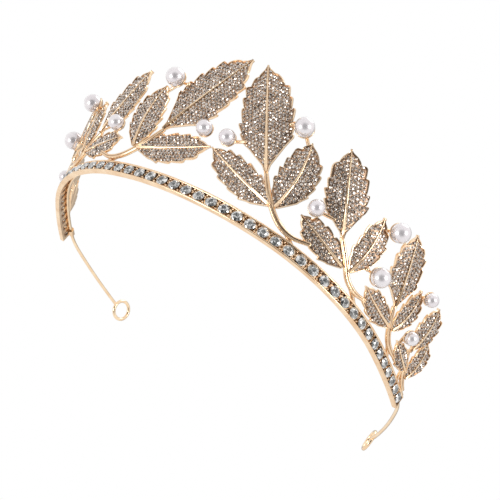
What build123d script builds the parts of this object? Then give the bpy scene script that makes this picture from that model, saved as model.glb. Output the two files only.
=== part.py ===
"""Bridal tiara: a crystal-set band on a headband wire, with leafy sprigs and pearls.

Frame: millimetres, +Z up, X to the right of someone facing the tiara, Y towards the back
of the head. The origin is on the band's foot, at the middle of the front.

Places on the tiara are given as (along, up): "along" is the distance round the band from
the middle of the front, and "up" is the distance from the band's top edge up the fan, the
cone that all the sprigs lie on. The left side mirrors the right side.
"""
from math import cos, degrees, pi, radians, sin, tan
import os

from build123d import *

os.makedirs("parts", exist_ok=True)

# Band crystals and their settings
stones_per_side = 23
stone_pitch = 4.5
stone_diameter = 3.5
stone_culet_diameter = 0.5
stone_table_diameter = 1.9
stone_crown_height = 0.5
stone_girdle_height = 0.15
stone_pavilion_angle = 41
seat_hole_diameter = 1.8

# Band: a channel bent round the front of the head in three arcs a side
band_height = 4.6
band_back_wall = 0.7
band_groove_depth = 0.9
band_rim = 0.45
band_end_margin = 0.8
band_corner_round = 0.5
front_radius = 88
front_turn = 19
side_radius = 56
side_turn = 51
end_radius = 158

# Headband wire, its arms behind the band and its eye loops
wire_diameter = 1.2
arm_bend_radius = 25
arm_bend_turn = 22
arm_radius = 150
arm_turn = 12
loop_diameter = 8.6
loop_wire_diameter = 1.3

# Tabs that grip the wire at the band's ends
tab_length = 3.0
tab_wall = 0.5
tab_foot = 2.0
tab_clearance = 0.04

# Fan of sprigs
fan_lean = 18
leaf_thickness = 1.4
leaf_rim = 0.75
leaf_field_depth = 0.35
leaf_rib_width = 0.9
leaf_rib_height = 0.35
leaf_rib_sink = 0.1
leaf_rib_reach = 0.95
leaf_stalk_width = 1.5
tooth_depth = 0.45
tooth_pitch = 3.0
tooth_crest = 0.72
last_tooth_share = 0.98
stem_diameter = 1.8
foot_diameter = 1.3
stem_sink = 0.9

# Pearls and the cups behind them
large_pearl = 6.0
medium_pearl = 5.0
small_pearl = 4.4
cup_wall = 0.4
cup_clearance = 0.05
cup_latitude = -32
pearl_set_in = 0.35
peg_diameter = 1.2

# Leaves: (along, up) of the stalk end and of the tip, the width, and the sideways bow
leaves = {
    "front_main": ((18.0, 13.0), (2.3, 42.8), 16.6, 0.4),
    "front_inner": ((24.0, 5.2), (0.35, 12.5), 10.0, 0.5),
    "front_outer": ((25.6, 5.4), (24.3, 27.4), 12.0, -1.5),
    "shoulder_main": ((45.5, 10.2), (33.3, 32.4), 12.8, 0.0),
    "shoulder_inner": ((50.8, 3.9), (32.8, 8.0), 8.4, 0.0),
    "shoulder_outer": ((53.2, 4.4), (50.8, 23.0), 8.8, -1.2),
    "side_main": ((71.6, 8.4), (60.4, 27.3), 11.2, -0.3),
    "side_inner": ((75.6, 4.0), (59.9, 5.3), 7.4, 0.5),
    "side_outer": ((77.0, 3.9), (73.8, 18.3), 7.6, -1.6),
    "end_main": ((89.5, 6.6), (83.7, 21.4), 9.6, -1.5),
    "end_inner": ((95.6, 2.8), (82.2, 4.4), 5.6, 0.3),
    "end_outer": ((97.8, 1.6), (92.3, 13.4), 8.0, -1.8),
}

# Stems: points from the main leaf's stalk down to where the stem ends
stems = {
    "front": [(18.0, 13.0), (21.4, 8.6), (25.0, 4.9), (29.6, 1.9), (34.4, 1.1), (39.6, 2.6)],
    "shoulder": [(45.5, 10.2), (50.4, 6.0), (54.6, 2.6), (58.8, 1.6), (63.2, 2.4)],
    "side": [(71.6, 8.4), (75.6, 4.4), (79.6, 1.9), (84.0, 1.2), (88.6, 1.5)],
    "end": [(89.5, 6.6), (94.2, 3.2), (98.4, 1.0), (102.6, 0.2)],
}
# Feet: where each branch leaves its stem and where it lands on the band's top edge
feet = {
    "front": ((27.6, 3.1), (35.6, 0.0)),
    "shoulder": ((54.0, 3.0), (61.6, 0.0)),
    "side": ((78.4, 2.5), (85.6, 0.0)),
    "end": ((93.0, 4.0), (97.6, 0.0)),
}
foot_inset = 0.8
smallest_solid = 1.0

# Pearls: (along, up), the diameter, and the place on a leaf that the peg holds on to
pearls = {
    "front_inner": ((3.8, 16.5), medium_pearl, (6.8, 17.8)),
    "front_outer": ((20.7, 29.6), large_pearl, (24.0, 26.0)),
    "shoulder_inner": ((35.1, 11.8), medium_pearl, (39.0, 12.6)),
    "shoulder_outer": ((55.6, 22.8), large_pearl, (52.2, 20.4)),
    "side_inner": ((60.0, 9.6), large_pearl, (64.6, 12.2)),
    "side_outer": ((77.0, 19.2), small_pearl, (74.6, 16.6)),
    "end": ((83.2, 8.0), small_pearl, (84.4, 4.4)),
}

# Sizes that follow from the ones above
band_depth = band_back_wall + band_groove_depth
band_half_length = stone_pitch * (stones_per_side + 0.5) + band_end_margin
front_arc = front_radius * radians(front_turn)
side_arc = side_radius * radians(side_turn)
wire_inset = band_depth + wire_diameter / 2
wire_height = band_height - wire_diameter / 2
arm_arcs = [(arm_bend_radius + wire_inset, arm_bend_turn), (arm_radius + wire_inset, arm_turn)]
loop_mean_radius = (loop_diameter - loop_wire_diameter) / 2
fan_start = band_height / 2 * tan(radians(fan_lean))


def plan_arcs(half_length):
    """Radius and turn of the arcs that make up half the band, to a given length."""
    end_turn = degrees((half_length - front_arc - side_arc) / end_radius)
    return [(front_radius, front_turn), (side_radius, side_turn), (end_radius, end_turn)]


def place(along):
    """Point on the band's outer face, seen from above, and the heading there in degrees."""
    x, y, heading, left_over = 0.0, 0.0, 0.0, abs(along)
    for radius, turn in [(front_radius, front_turn), (side_radius, side_turn), (end_radius, 90)]:
        step = min(left_over, radius * radians(turn))
        end = heading + degrees(step / radius)
        x += radius * (sin(radians(end)) - sin(radians(heading)))
        y += radius * (cos(radians(heading)) - cos(radians(end)))
        heading, left_over = end, left_over - step
    return (x, y, heading) if along >= 0 else (-x, y, -heading)


def outward(along, tilt=0.0):
    """Unit vector away from the head at a place on the band, tipped down by tilt degrees."""
    heading = radians(place(along)[2])
    level = cos(radians(tilt))
    return Vector(sin(heading) * level, -cos(heading) * level, -sin(radians(tilt)))


def fan(along, up, proud=0.0):
    """Point on the fan, or proud of it by the given distance."""
    x, y, _ = place(along)
    reach = fan_start + up * sin(radians(fan_lean))
    foot = Vector(x, y, band_height + up * cos(radians(fan_lean)))
    return foot + outward(along) * reach + outward(along, fan_lean) * proud


def leaf_plane(stalk, tip):
    """Plane of a leaf: X runs from stalk to tip, and Z faces away from the head."""
    middle = (stalk[0] + tip[0]) / 2
    axis = (fan(*tip) - fan(*stalk)).normalized()
    face = outward(middle, fan_lean)
    face = (face - axis * face.dot(axis)).normalized()
    return Plane(origin=fan(*stalk), x_dir=axis, z_dir=face)


def leaf_half_width(share, width):
    """Half the leaf's width at a share of its length: full near the stalk, pointed at the tip."""
    return width / 2 * sin(pi * share ** 0.8) ** 0.8


def leaf_outline(length, width, bow, inset):
    """Corners of the serrated outline, up one edge and down the other."""
    teeth = max(4, round(length / tooth_pitch))
    sides = []
    for side in (1, -1):
        corners = []
        for tooth in range(teeth):
            for share, lift in (((tooth + tooth_crest) / teeth, tooth_depth), ((tooth + 1) / teeth, 0.0)):
                if share < last_tooth_share:
                    half = max(leaf_half_width(share, width) + lift - inset, leaf_rib_width / 2)
                    bend = bow * 4 * share * (1 - share)
                    corners.append((share * length, bend + side * half))
        sides.append(corners)
    start = [(inset, -leaf_stalk_width / 2), (inset, leaf_stalk_width / 2)]
    return start + sides[0] + [(length - 2 * inset, 0)] + sides[1][::-1]


def save(name, piece):
    """Label a finished piece and write it to its own file."""
    piece.part.label = name
    export_step(piece.part, f"parts/{name}.step")


def save_pair(name, piece):
    """Save a right-hand piece and its left-hand twin."""
    save(f"right_{name}", piece)
    with BuildPart() as twin:
        mirror(piece.part, about=Plane.YZ)
    save(f"left_{name}", twin)


def fit_round(piece, others):
    """Cut finished neighbours out of the piece being built, and drop any crumbs left over."""
    box = piece.part.bounding_box()
    for other in others:
        if box.overlaps(other.bounding_box()):
            add(other, mode=Mode.SUBTRACT)
    crumbs = [solid for solid in piece.part.solids() if solid.volume < smallest_solid]
    if crumbs:
        add(crumbs, mode=Mode.SUBTRACT)


def arc_chain(start, tangent, arcs, inset):
    """Tangent arcs drawn one after another, each inset towards the head."""
    line = None
    for radius, turn in arcs:
        line = JernArc(start, tangent, radius - inset, turn)
        start, tangent = line @ 1, line % 1
    return line


def band_strip(height, outer, inner, half_length):
    """Face of the band seen from above, between two insets from its outer face."""
    with BuildSketch(Plane.XY.offset(height), mode=Mode.PRIVATE) as strip:
        with BuildLine():
            outside = arc_chain((0, outer), (1, 0), plan_arcs(half_length), outer)
            inside = arc_chain((0, inner), (1, 0), plan_arcs(half_length), inner)
            Line(outside @ 1, inside @ 1)
            Line((0, outer), (0, inner))
        make_face()
        mirror(about=Plane.YZ)
    return strip.sketch


stone_seats = []
for number in range(-stones_per_side, stones_per_side + 1):
    x, y, _ = place(number * stone_pitch)
    floor = Vector(x, y, band_height / 2) - outward(number * stone_pitch) * band_groove_depth
    stone_seats.append(Plane(origin=floor, x_dir=(0, 0, 1), z_dir=outward(number * stone_pitch)))

# Band: back wall with two rims and a drilled seat for every crystal
with BuildPart() as band:
    extrude(band_strip(0, 0, band_depth, band_half_length), amount=band_height)
    ends = band.edges().filter_by(Axis.Z).sort_by(Axis.Y)[-4:]
    fillet(ends, band_corner_round)
    groove = band_strip(band_rim, -band_rim, band_groove_depth, band_half_length - band_end_margin)
    extrude(groove, amount=band_height - 2 * band_rim, mode=Mode.SUBTRACT)
    with Locations(*[seat.location for seat in stone_seats]):
        Hole(seat_hole_diameter / 2, depth=band_depth)
save("band", band)

# Band crystals: cone-backed round stones, each standing on the edge of its seat hole
seat_radius = seat_hole_diameter / 2
pavilion_slope = tan(radians(stone_pavilion_angle))
girdle_lift = (stone_diameter / 2 - seat_radius) * pavilion_slope
pavilion_depth = (stone_diameter - stone_culet_diameter) / 2 * pavilion_slope
with BuildPart() as band_crystals:
    for seat in stone_seats:
        with BuildSketch(seat.offset(girdle_lift - pavilion_depth)):
            Circle(stone_culet_diameter / 2)
        with BuildSketch(seat.offset(girdle_lift)):
            Circle(stone_diameter / 2)
        loft()
        with BuildSketch(seat.offset(girdle_lift)):
            Circle(stone_diameter / 2)
        extrude(amount=stone_girdle_height)
        with BuildSketch(seat.offset(girdle_lift + stone_girdle_height)):
            Circle(stone_diameter / 2)
        with BuildSketch(seat.offset(girdle_lift + stone_girdle_height + stone_crown_height)):
            Circle(stone_table_diameter / 2)
        loft()
save("band_crystals", band_crystals)

# Headband wire: along the inside of the band, then out behind it in two arms
with BuildPart() as headband_wire:
    with BuildLine(Plane.XY.offset(wire_height)) as wire_half:
        wire_arcs = plan_arcs(band_half_length) + arm_arcs
        arm_end = arc_chain((0, wire_inset), (1, 0), wire_arcs, wire_inset)
    with BuildSketch(Plane.YZ):
        with Locations((wire_inset, wire_height)):
            Circle(wire_diameter / 2)
    sweep(path=wire_half.wires()[0])
    mirror(about=Plane.YZ)
save("headband_wire", headband_wire)

# Eye loop: an upright ring on the end of each arm, its lowest point level with the band's foot
loop_rise = loop_diameter / 2 - wire_height
loop_run = (loop_mean_radius ** 2 - loop_rise ** 2) ** 0.5
arm_heading = arm_end % 1
loop_centre = arm_end @ 1 + arm_heading * loop_run + Vector(0, 0, loop_rise)
with BuildPart() as eye_loop:
    with Locations(Plane(origin=loop_centre, z_dir=arm_heading.cross(Vector(0, 0, 1))).location):
        Torus(loop_mean_radius, loop_wire_diameter / 2)
    fit_round(eye_loop, [headband_wire.part])
save_pair("eye_loop", eye_loop)

# Wire tab: a lug on the end of the band's top edge, curled down round the wire
grip = wire_diameter / 2 + tab_clearance
tab_start = band_half_length - tab_length - band_end_margin
tab_x, tab_y, tab_heading = place(tab_start)
tab_out = outward(tab_start)
tab_origin = Vector(tab_x, tab_y, wire_height) - tab_out * wire_inset
tab_plane = Plane(origin=tab_origin, x_dir=tab_out, z_dir=tab_out.cross(Vector(0, 0, 1)))
with BuildPart() as wire_tab:
    with BuildSketch(tab_plane):
        with BuildLine():
            outer_curl = CenterArc((0, 0), grip + tab_wall, 90, 180)
            inner_curl = CenterArc((0, 0), grip, 90, 180)
            Polyline(outer_curl @ 0, (tab_foot, grip + tab_wall),
                     (tab_foot, wire_diameter / 2), inner_curl @ 0)
            Line(outer_curl @ 1, inner_curl @ 1)
        make_face()
    extrude(amount=-tab_length)
save_pair("wire_tab", wire_tab)

# Stems: a round branch from the main leaf's stalk, with a foot that lands on the band
metalwork = []
for name, points in stems.items():
    knots = [fan(*point, -stem_sink) for point in points]
    with BuildPart() as stem:
        with BuildLine() as branch:
            tangent = knots[1] - knots[0]
            bisector = (knots[2] - knots[0]).normalized()
            tangent = (tangent.normalized() * 2 - bisector).normalized()
            for start, end in zip(knots, knots[1:]):
                arc = TangentArc(start, end, tangent=tangent)
                tangent = arc % 1
        path = branch.wires()[0]
        with BuildSketch(Plane(origin=path @ 0, z_dir=path % 0)):
            Circle(stem_diameter / 2)
        sweep(path=path)
        leave, land = feet[name]
        foot_start = fan(*leave, -stem_sink)
        land_x, land_y, _ = place(land[0])
        landing = Vector(land_x, land_y, band_height) - outward(land[0]) * foot_inset
        with BuildLine() as foot:
            TangentArc(foot_start, landing, tangent=knots[3] - knots[2])
        foot_path = foot.wires()[0]
        with BuildSketch(Plane(origin=foot_path @ 0, z_dir=foot_path % 0)):
            Circle(foot_diameter / 2)
        sweep(path=foot_path)
        fit_round(stem, [band.part])
    save_pair(f"{name}_stem", stem)
    metalwork.append(stem.part)

# Leaves: a serrated plate with a sunk field for the pave and a raised rib down the middle,
# notched where it sits on a stem or on the leaf before it
for name, (stalk, tip, width, bow) in leaves.items():
    length = (fan(*tip) - fan(*stalk)).length
    plane = leaf_plane(stalk, tip)
    with BuildPart() as leaf:
        with BuildSketch(plane):
            Polygon(*leaf_outline(length, width, bow, 0), align=None)
        extrude(amount=-leaf_thickness)
        with BuildSketch(plane):
            Polygon(*leaf_outline(length, width, bow, leaf_rim), align=None)
        extrude(amount=-leaf_field_depth, mode=Mode.SUBTRACT)
        with BuildSketch(plane.offset(-leaf_field_depth - leaf_rib_sink)):
            with BuildLine():
                near = ThreePointArc((0, leaf_rib_width / 2), (length / 2, bow + leaf_rib_width / 3),
                                     (length * leaf_rib_reach, 0))
                far = ThreePointArc((0, -leaf_rib_width / 2), (length / 2, bow - leaf_rib_width / 3),
                                    (length * leaf_rib_reach, 0))
                Line(near @ 0, far @ 0)
            make_face()
        extrude(amount=leaf_rib_sink + leaf_field_depth + leaf_rib_height)
        fit_round(leaf, metalwork)
    save_pair(f"{name}_leaf", leaf)
    metalwork.append(leaf.part)

# Pearls
for name, (spot, diameter, _) in pearls.items():
    centre = fan(*spot, diameter / 2 - pearl_set_in)
    with BuildPart() as pearl:
        with Locations(Plane(origin=centre, z_dir=outward(spot[0], fan_lean)).location):
            Sphere(diameter / 2)
    save_pair(f"{name}_pearl", pearl)
    metalwork.append(pearl.part)

# Pearl cups: a shallow dish behind each pearl, with a peg to the leaf that carries it
with BuildPart() as pearl_cups:
    for spot, diameter, hold in pearls.values():
        radius = diameter / 2 + cup_clearance
        face = outward(spot[0], fan_lean)
        centre = fan(*spot, diameter / 2 - pearl_set_in)
        peg_head = centre - face * (radius + cup_wall / 2)
        reach = fan(*hold, -leaf_thickness / 2) - peg_head
        with Locations(Plane(origin=peg_head, z_dir=reach.normalized()).location):
            Cylinder(peg_diameter / 2, reach.length, align=(Align.CENTER, Align.CENTER, Align.MIN))
        with Locations(Plane(origin=centre, z_dir=face).location):
            Sphere(radius + cup_wall, arc_size2=cup_latitude)
            Sphere(radius, mode=Mode.SUBTRACT)
    fit_round(pearl_cups, metalwork)
save_pair("pearl_cups", pearl_cups)
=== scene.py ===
"""Bridal tiara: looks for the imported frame.

The band, headband wire, leaves, stems, pave, pearls and cups are numpy surfaces laid on the
same plan as the frame: "along" is the distance round the band from the middle of the front,
and "up" is the distance from the band's top edge up the fan, the cone that the sprigs lie on.
Plan sizes are in millimetres and become metres when a mesh is made.
"""
import logging
import math
from dataclasses import dataclass
from enum import Enum

import bpy
import numpy as np
from mathutils import Matrix, Vector


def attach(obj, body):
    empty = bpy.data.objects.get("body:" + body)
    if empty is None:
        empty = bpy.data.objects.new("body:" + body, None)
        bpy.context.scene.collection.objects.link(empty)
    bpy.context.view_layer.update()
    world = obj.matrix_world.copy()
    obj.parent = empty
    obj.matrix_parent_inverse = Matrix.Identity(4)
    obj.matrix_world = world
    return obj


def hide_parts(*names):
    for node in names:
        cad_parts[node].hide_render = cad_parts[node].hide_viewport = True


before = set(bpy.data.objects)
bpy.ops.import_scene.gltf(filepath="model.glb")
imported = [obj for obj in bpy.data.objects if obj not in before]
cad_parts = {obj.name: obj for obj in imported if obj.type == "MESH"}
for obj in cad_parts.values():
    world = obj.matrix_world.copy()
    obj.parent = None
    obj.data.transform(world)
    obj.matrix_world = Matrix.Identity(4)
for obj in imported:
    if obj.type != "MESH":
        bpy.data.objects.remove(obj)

log = logging.getLogger("tiara")
Array = np.ndarray
Colour = tuple[float, float, float]
Socket = bpy.types.NodeSocket
METRES = 0.001
UP = np.array([0.0, 0.0, 1.0])


class Side(Enum):
    """Which half of the tiara a piece is on, as someone facing it sees it."""

    RIGHT = "right"
    LEFT = "left"


class Shading(Enum):
    """How a mesh's faces are shaded."""

    FLAT = "flat"
    SMOOTH = "smooth"
    CREASED = "creased"


# ---------------------------------------------------------------- surfaces


@dataclass
class Shell:
    """One surface in millimetres: its points, and groups of faces with their finish number."""

    points: Array
    faces: list[tuple[Array, int]]

    def turned_over(self) -> "Shell":
        """The same points with every face the other way round."""
        return Shell(self.points, [(f[:, ::-1], n) for f, n in self.faces])

    def mirrored(self) -> "Shell":
        """The same surface on the other side of X = 0, its faces still outward."""
        return Shell(self.points * [-1.0, 1.0, 1.0], self.turned_over().faces)

    def outward(self) -> "Shell":
        """A closed surface with its faces outward: the sum over the faces of the first corner's
        product with the next two is above zero when they already are.

        Returns:
            The shell itself or the shell turned over.
        """
        total = 0.0
        for faces, _ in self.faces:
            corner = self.points[faces]
            for k in range(1, faces.shape[1] - 1):
                total += np.einsum("ij,ij->", corner[:, 0], np.cross(corner[:, k], corner[:, k + 1]))
        return self if total > 0 else self.turned_over()

    @staticmethod
    def joined(shells: list["Shell"]) -> "Shell":
        """Several surfaces as one.

        Args:
            shells: The surfaces, left as they are.

        Returns:
            One shell with every point and face.
        """
        starts = np.cumsum([0] + [len(s.points) for s in shells])
        faces = [(f + start, n) for s, start in zip(shells, starts) for f, n in s.faces]
        return Shell(np.concatenate([s.points for s in shells]), faces)


def grid_faces(rows: int, columns: int, wrap_rows: bool = False) -> Array:
    """Four-cornered faces of a grid of points stored row by row, each row a closed ring.

    Args:
        rows: How many rows of points.
        columns: How many points in a row.
        wrap_rows: Whether the last row joins the first.

    Returns:
        Corner numbers, one face a line, row by row.
    """
    r = np.arange(rows if wrap_rows else rows - 1)[:, None]
    c = np.arange(columns)[None, :]
    r2, c2 = (r + 1) % rows, (c + 1) % columns
    quads = [r * columns + c, r * columns + c2, r2 * columns + c2, r2 * columns + c]
    return np.stack([np.broadcast_to(q, (r.size, c.size)) for q in quads], -1).reshape(-1, 4)


def tube_shell(rings: Array, closed: bool = False, poles: Array | None = None) -> Shell:
    """Closed skin over a row of rings, each end drawn in to a point.

    Args:
        rings: Ring points, as (ring, point, xyz).
        closed: Whether the last ring joins the first, so that there are no ends.
        poles: The two end points, each end ring's centre unless given.

    Returns:
        The skin, with its faces outward.
    """
    count, around = rings.shape[:2]
    faces = [(grid_faces(count, around, closed), 0)]
    points = rings.reshape(-1, 3)
    if not closed:
        c = np.arange(around)
        n = (c + 1) % around
        last = (count - 1) * around
        first_cap = np.stack([n, c, np.full(around, len(points))], -1)
        last_cap = np.stack([c + last, n + last, np.full(around, len(points) + 1)], -1)
        faces.append((np.concatenate([first_cap, last_cap]), 0))
        points = np.concatenate([points, rings[[0, -1]].mean(1) if poles is None else poles])
    return Shell(points, faces).outward()


def unit(v: Array) -> Array:
    """Vectors of length one along the last axis."""
    return v / np.maximum(np.linalg.norm(v, axis=-1, keepdims=True), 1e-12)


def turns(count: int, spin: float = 0.0) -> Array:
    """Even angles round a circle, started a given share of a step late."""
    return (np.arange(count) + spin) * 2 * math.pi / count


def turned(profile: list[tuple], sides: int, spin: float = 0.0) -> Array:
    """Points of a profile turned about Z: each radius times the cosine and the sine.

    Args:
        profile: Radius and height of each ring; a radius may differ from point to point.
        sides: Points round each ring.
        spin: Share of a step that the rings are turned by.

    Returns:
        The points, ring by ring.
    """
    angle = turns(sides, spin)
    return np.concatenate([np.stack([r * np.cos(angle), r * np.sin(angle), np.full(sides, h)], -1)
                           for r, h in profile])


def smooth_path(knots: Array, steps: int = 10) -> Array:
    """Curve through given points: between two of them, a cubic whose slope at each point is half the step
    from the point before it to the point after it.

    Args:
        knots: The points, as (point, xyz).
        steps: Pieces in each span.

    Returns:
        Points along the curve.
    """
    slopes = np.gradient(knots, axis=0)
    t = np.linspace(0, 1, steps, endpoint=False)[:, None]
    h = [2 * t**3 - 3 * t**2 + 1, t**3 - 2 * t**2 + t, 3 * t**2 - 2 * t**3, t**3 - t**2]
    spans = [h[0] * a + h[1] * m + h[2] * b + h[3] * n
             for a, b, m, n in zip(knots[:-1], knots[1:], slopes[:-1], slopes[1:])]
    return np.concatenate(spans + [knots[-1:]])


def rod(path: Array, radius: Array, face: Array, sides: int = 14, end_rings: int = 4) -> Shell:
    """Round rod along a path: at each point a circle of the given radius, square to the path,
    with half-round ends made of rings that shrink as the cosine while they move as the sine.

    Args:
        path: Points of the centre line.
        radius: Radius at each point.
        face: Direction that the rod's front faces, one for all points or one each.
        sides: Points round the rod.
        end_rings: Rings in each rounded end.

    Returns:
        The rod's closed skin.
    """
    along = unit(np.gradient(path, axis=0))
    front = np.broadcast_to(face, path.shape)
    front = unit(front - along * (front * along).sum(-1, keepdims=True))
    front = np.pad(front, ((end_rings, end_rings), (0, 0)), "edge")
    across = np.cross(front, np.pad(along, ((end_rings, end_rings), (0, 0)), "edge"))
    turn = np.linspace(0, math.pi / 2, end_rings + 2)[1:-1]
    tails = [path[end] + sign * along[end] * radius[end] * np.sin(turn)[:, None]
             for end, sign in ((0, -1), (-1, 1))]
    centres = np.concatenate([tails[0][::-1], path, tails[1]])
    sizes = np.concatenate([radius[0] * np.cos(turn)[::-1], radius, radius[-1] * np.cos(turn)])
    angle = turns(sides)[:, None]
    ring = (across[:, None] * np.cos(angle) + front[:, None] * np.sin(angle)) * sizes[:, None, None]
    poles = np.stack([path[0] - along[0] * radius[0], path[-1] + along[-1] * radius[-1]])
    return tube_shell(centres[:, None] + ring, poles=poles)


def ball(centre: Array, radius: float, pole: Array, rows: int, sides: int) -> Shell:
    """Sphere as a grid of latitude and longitude about its pole direction.

    Args:
        centre: Its middle.
        radius: Its radius.
        pole: Direction of its pole.
        rows: Rings between the poles.
        sides: Points round each ring.

    Returns:
        The sphere's closed skin.
    """
    pole = unit(pole)
    side = unit(np.cross(pole, UP))
    lat = np.linspace(-math.pi / 2, math.pi / 2, rows + 2)[1:-1, None, None]
    lon = turns(sides)[None, :, None]
    ring = np.cos(lon) * np.cross(side, pole) + np.sin(lon) * side
    return tube_shell(centre + radius * (np.cos(lat) * ring + np.sin(lat) * pole),
                      poles=centre + radius * pole * [[-1.0], [1.0]])


def scattered(shape: Array, faces: list[Array], centres: Array, axes: Array,
              sizes: Array | float = 1.0, finishes: tuple[int, ...] = (0, 0, 0)) -> Shell:
    """Copies of a small shape, each turned to its own axes and sized.

    Args:
        shape: Points of the shape, as (point, xyz).
        faces: Its faces, in groups with the same number of corners.
        centres: Where each copy goes.
        axes: Each copy's X, Y and Z directions, as (copy, axis, xyz).
        sizes: Each copy's size, or one for all.
        finishes: Finish number of each group.

    Returns:
        All the copies as one shell.
    """
    size = np.broadcast_to(sizes, len(centres))[:, None, None]
    points = np.einsum("pk,ckx->cpx", shape, axes) * size + centres[:, None]
    starts = (np.arange(len(centres)) * len(shape))[:, None, None]
    groups = [((f[None] + starts).reshape(-1, f.shape[1]), n) for f, n in zip(faces, finishes)]
    return Shell(points.reshape(-1, 3), groups)


def piece(name: str, shell: Shell, finishes: list[bpy.types.Material],
          shading: Shading, nodes: tuple[str, ...] = (), seed: int | None = None,
          painted_sparkle: tuple[tuple[float, float], ...] = ((0.0, 1.0),)) -> None:
    """Make one piece of the tiara, riding on the body.

    Args:
        name: The piece's name.
        shell: Its surface.
        finishes: One material for each finish number.
        shading: How its faces are shaded.
        nodes: CAD nodes that it stands for.
        seed: If given, every facet gets its own painted lightness, a painted glint or dark reflection, from
            this seed.
        painted_sparkle: Least and most painted lightness of the facets of each finish number.
    """
    mesh = bpy.data.meshes.new(name)
    corners = np.concatenate([f.ravel() for f, _ in shell.faces]).astype(np.int32)
    totals = np.concatenate([np.full(len(f), f.shape[1]) for f, _ in shell.faces])
    starts = np.concatenate([[0], np.cumsum(totals)[:-1]]).astype(np.int32)
    mesh.vertices.add(len(shell.points))
    mesh.vertices.foreach_set("co", (shell.points * METRES).astype(np.float32).ravel())
    mesh.loops.add(len(corners))
    mesh.loops.foreach_set("vertex_index", corners)
    mesh.polygons.add(len(totals))
    mesh.polygons.foreach_set("loop_start", starts)
    numbers = np.concatenate([np.full(len(f), n) for f, n in shell.faces]).astype(np.int32)
    mesh.polygons.foreach_set("material_index", numbers)
    mesh.update(calc_edges=True)
    if shading is Shading.FLAT:
        mesh.shade_flat()
    else:
        mesh.shade_smooth()
    if shading is Shading.CREASED:
        mesh.set_sharp_from_angle(angle=math.radians(38))
    # Painted sparkle: a random lightness on every facet, which the stone finishes turn into painted glints
    # and dark reflections.
    if seed is not None:
        low, high = np.array(painted_sparkle).T[:, np.minimum(numbers, len(painted_sparkle) - 1)]
        light = low + (high - low) * np.random.default_rng(seed).random(len(totals))
        facet = mesh.attributes.new("facet", "FLOAT", "CORNER")
        facet.data.foreach_set("value", np.repeat(light, totals).astype(np.float32))
    for finish in finishes:
        mesh.materials.append(finish)
    made = bpy.data.objects.new(name, mesh)
    bpy.context.scene.collection.objects.link(made)
    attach(made, "root")
    if nodes:
        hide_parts(*nodes)
    log.info("%s: %d faces", name, len(totals))


def both_sides(name: str, shell: Shell, finishes: list[bpy.types.Material],
               shading: Shading, node: str | None = None, seed: int | None = None) -> None:
    """Make a right-hand piece and its left-hand twin.

    Args:
        name: The pieces' name without its side.
        shell: The right-hand surface.
        finishes: One material for each finish number.
        shading: How the faces are shaded.
        node: The CAD node that they stand for, without its side.
        seed: Seed of the facets' painted lightness.
    """
    for side, skin in ((Side.RIGHT, shell), (Side.LEFT, shell.mirrored())):
        nodes = (f"{side.value}_{node}",) if node else ()
        piece(f"{side.value}_{name}", skin, finishes, shading, nodes, seed)


def dress(node: str, finish: bpy.types.Material) -> None:
    """Give a CAD node that stays its finish.

    Args:
        node: The node's name.
        finish: Its material.
    """
    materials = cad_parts[node].data.materials
    materials.clear()
    materials.append(finish)


# ---------------------------------------------------------------- plan


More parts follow.
